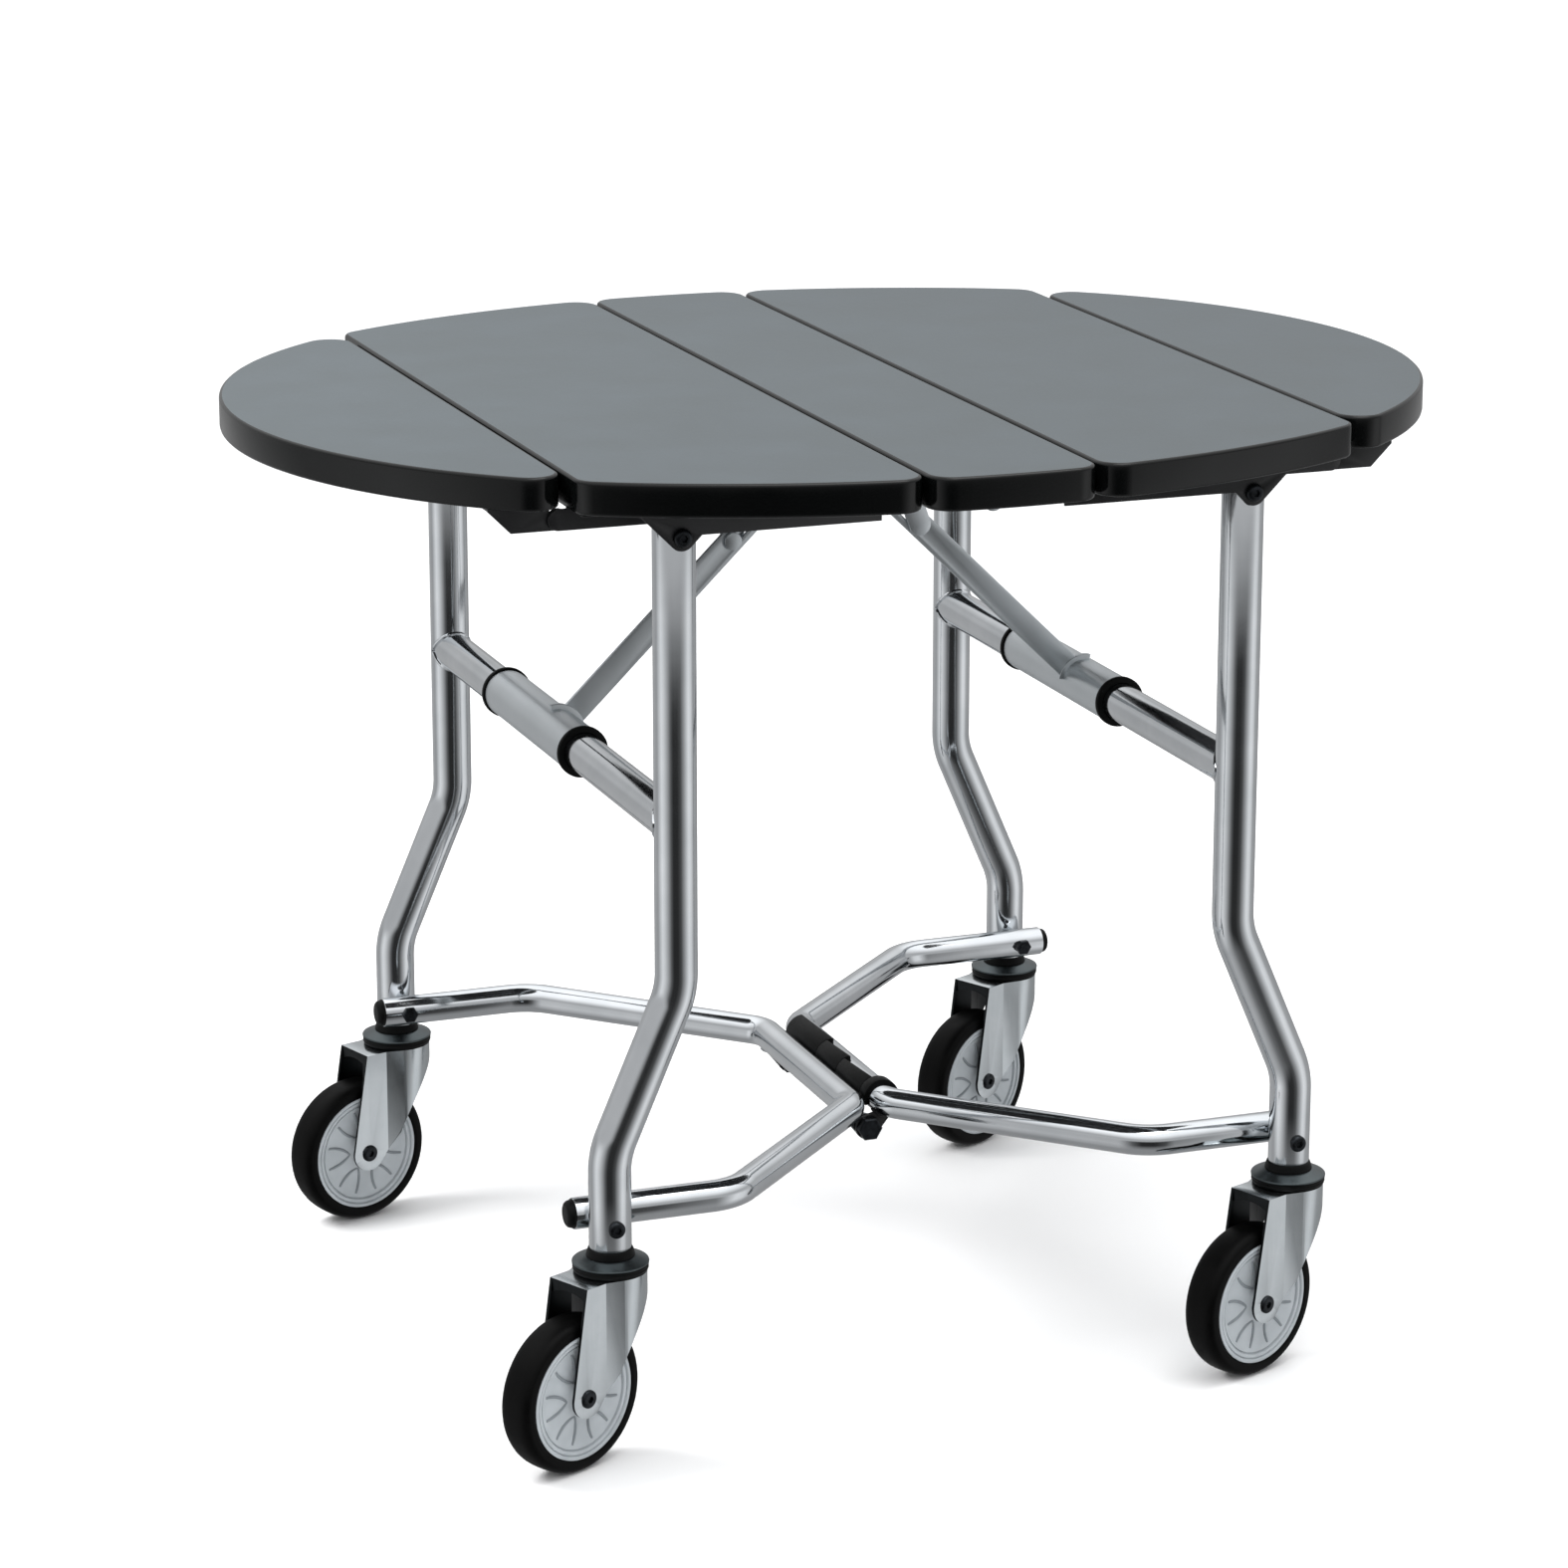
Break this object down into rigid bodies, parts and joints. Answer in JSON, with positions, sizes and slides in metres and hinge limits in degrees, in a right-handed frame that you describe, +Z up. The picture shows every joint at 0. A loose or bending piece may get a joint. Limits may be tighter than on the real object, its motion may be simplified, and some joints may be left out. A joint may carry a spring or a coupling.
{
  "type": "room service table",
  "caption": "Folding oval table on casters: a banded top in boards on hinges, two joggled tube leg frames with slotted stays, and two lower tube frames that cross at a centre pivot.",
  "frame": {"origin": "on the floor, below the centre of the open top", "axes": "+Z up, +X across the boards' seams towards the right leaf, +Y away from the front, along the seams"},
  "size_m": [0.9498, 0.7898, 0.75],
  "materials": {
    "laminate": "satin laminate, finely mottled",
    "edge_black": "glossy black edge band",
    "black_steel": "satin black paint",
    "chrome_tube": "bright chrome",
    "silver_paint": "smooth silver paint",
    "zinc_plate": "bright zinc plating, satin",
    "black_plastic": "fine moulded grain",
    "hub_plastic": "light grey moulded plastic",
    "tyre_black": "smooth solid tyre"
  },
  "bodies": {
    "centre": {"centre_board": "laminate", "centre_edge": "edge_black", "guide_plate": "silver_paint", "centre_hinges": "zinc_plate"},
    "wing_left": {"wing_board_left": "laminate", "wing_edge_left": "edge_black", "rail_front_left": "black_steel", "rail_back_left": "black_steel", "wing_lugs_left": "zinc_plate", "leg_bolts_left": "black_steel"},
    "leaf_left": {"leaf_board_left": "laminate", "leaf_edge_left": "edge_black", "leaf_arms_left": "black_steel"},
    "legs_left": {"leg_front_left": "chrome_tube", "leg_back_left": "chrome_tube", "crossbar_left": "chrome_tube", "stop_rings_left": "black_plastic", "collars_left": "black_plastic", "stems_left": "zinc_plate", "foot_bolts_left": "black_steel"},
    "stay_left": {"stay_left": "silver_paint"},
    "wing_right": {"wing_board_right": "laminate", "wing_edge_right": "edge_black", "rail_front_right": "black_steel", "rail_back_right": "black_steel", "wing_lugs_right": "zinc_plate", "leg_bolts_right": "black_steel"},
    "leaf_right": {"leaf_board_right": "laminate", "leaf_edge_right": "edge_black", "leaf_arms_right": "black_steel"},
    "legs_right": {"leg_front_right": "chrome_tube", "leg_back_right": "chrome_tube", "crossbar_right": "chrome_tube", "stop_rings_right": "black_plastic", "collars_right": "black_plastic", "stems_right": "zinc_plate", "foot_bolts_right": "black_steel"},
    "stay_right": {"stay_right": "silver_paint"},
    "lower_left": {"lower_frame_left": "chrome_tube", "end_plugs_left": "black_plastic"},
    "lower_right": {"lower_frame_right": "chrome_tube", "end_plugs_right": "black_plastic", "centre_rod": "black_steel", "bumper": "black_plastic"},
    "swivel_front_left": {"fork_front_left": "zinc_plate", "axle_front_left": "zinc_plate"},
    "wheel_front_left": {"tyre_front_left": "tyre_black", "hub_front_left": "hub_plastic"},
    "swivel_front_right": {"fork_front_right": "zinc_plate", "axle_front_right": "zinc_plate"},
    "wheel_front_right": {"tyre_front_right": "tyre_black", "hub_front_right": "hub_plastic"},
    "swivel_back_left": {"fork_back_left": "zinc_plate", "axle_back_left": "zinc_plate"},
    "wheel_back_left": {"tyre_back_left": "tyre_black", "hub_back_left": "hub_plastic"},
    "swivel_back_right": {"fork_back_right": "zinc_plate", "axle_back_right": "zinc_plate"},
    "wheel_back_right": {"tyre_back_right": "tyre_black", "hub_back_right": "hub_plastic"}
  },
  "joints": [
    {"name": "fold", "type": "hinge", "parent": "centre", "child": "wing_right", "pos_m": [0.066, 0, 0.684], "axis": [0, 1, 0], "range_deg": [0, 85]},
    {"name": "wing_left_fold", "type": "hinge", "parent": "centre", "child": "wing_left", "pos_m": [-0.066, 0, 0.684], "axis": [0, -1, 0], "range_deg": [0, 85]},
    {"name": "legs_right_turn", "type": "hinge", "parent": "wing_right", "child": "legs_right", "pos_m": [0.225, 0, 0.702], "axis": [0, -1, 0], "range_deg": [0, 85]},
    {"name": "stay_right_turn", "type": "hinge", "parent": "legs_right", "child": "stay_right", "pos_m": [0.225, 0, 0.484], "axis": [0, 1, 0], "range_deg": [0, 42.5]},
    {"name": "lower_right_turn", "type": "hinge", "parent": "legs_right", "child": "lower_right", "pos_m": [0.278, 0, 0.182], "axis": [0, 1, 0], "range_deg": [0, 62]},
    {"name": "leaf_right_hinge", "type": "hinge", "parent": "wing_right", "child": "leaf_right", "pos_m": [0.306, 0, 0.7135], "axis": [0, -1, 0], "range_deg": [-90, 0]},
    {"name": "legs_left_turn", "type": "hinge", "parent": "wing_left", "child": "legs_left", "pos_m": [-0.225, 0, 0.702], "axis": [0, 1, 0], "range_deg": [0, 85]},
    {"name": "stay_left_turn", "type": "hinge", "parent": "legs_left", "child": "stay_left", "pos_m": [-0.225, 0, 0.484], "axis": [0, -1, 0], "range_deg": [0, 42.5]},
    {"name": "lower_left_turn", "type": "hinge", "parent": "legs_left", "child": "lower_left", "pos_m": [-0.278, 0, 0.182], "axis": [0, -1, 0], "range_deg": [0, 62]},
    {"name": "leaf_left_hinge", "type": "hinge", "parent": "wing_left", "child": "leaf_left", "pos_m": [-0.306, 0, 0.7135], "axis": [0, 1, 0], "range_deg": [-90, 0]},
    {"name": "swivel_front_left_turn", "type": "hinge", "parent": "legs_left", "child": "swivel_front_left", "pos_m": [-0.278, -0.288, 0.15], "axis": [0, 0, 1], "continuous": true},
    {"name": "wheel_front_left_spin", "type": "hinge", "parent": "swivel_front_left", "child": "wheel_front_left", "pos_m": [-0.31635, -0.30654, 0.06], "axis": [-0.4352, 0.9003, 0], "continuous": true},
    {"name": "swivel_front_right_turn", "type": "hinge", "parent": "legs_right", "child": "swivel_front_right", "pos_m": [0.278, -0.288, 0.15], "axis": [0, 0, 1], "continuous": true},
    {"name": "wheel_front_right_spin", "type": "hinge", "parent": "swivel_front_right", "child": "wheel_front_right", "pos_m": [0.23861, -0.30423, 0.06], "axis": [-0.3811, 0.9245, 0], "continuous": true},
    {"name": "swivel_back_left_turn", "type": "hinge", "parent": "legs_left", "child": "swivel_back_left", "pos_m": [-0.278, 0.288, 0.15], "axis": [0, 0, 1], "continuous": true},
    {"name": "wheel_back_left_spin", "type": "hinge", "parent": "swivel_back_left", "child": "wheel_back_left", "pos_m": [-0.31856, 0.27498, 0.06], "axis": [-0.3057, 0.9521, 0], "continuous": true},
    {"name": "swivel_back_right_turn", "type": "hinge", "parent": "legs_right", "child": "swivel_back_right", "pos_m": [0.278, 0.288, 0.15], "axis": [0, 0, 1], "continuous": true},
    {"name": "wheel_back_right_spin", "type": "hinge", "parent": "swivel_back_right", "child": "wheel_back_right", "pos_m": [0.24004, 0.26866, 0.06], "axis": [-0.454, 0.891, 0], "continuous": true}
  ],
  "couplings": [
    {"joint": "wing_left_fold", "follows": "fold", "ratio": 1},
    {"joint": "legs_right_turn", "follows": "fold", "ratio": 1},
    {"joint": "stay_right_turn", "follows": "fold", "ratio": 0.5},
    {"joint": "lower_right_turn", "follows": "fold", "ratio": 0.7255},
    {"joint": "legs_left_turn", "follows": "fold", "ratio": 1},
    {"joint": "stay_left_turn", "follows": "fold", "ratio": 0.5},
    {"joint": "lower_left_turn", "follows": "fold", "ratio": 0.7255}
  ]
}
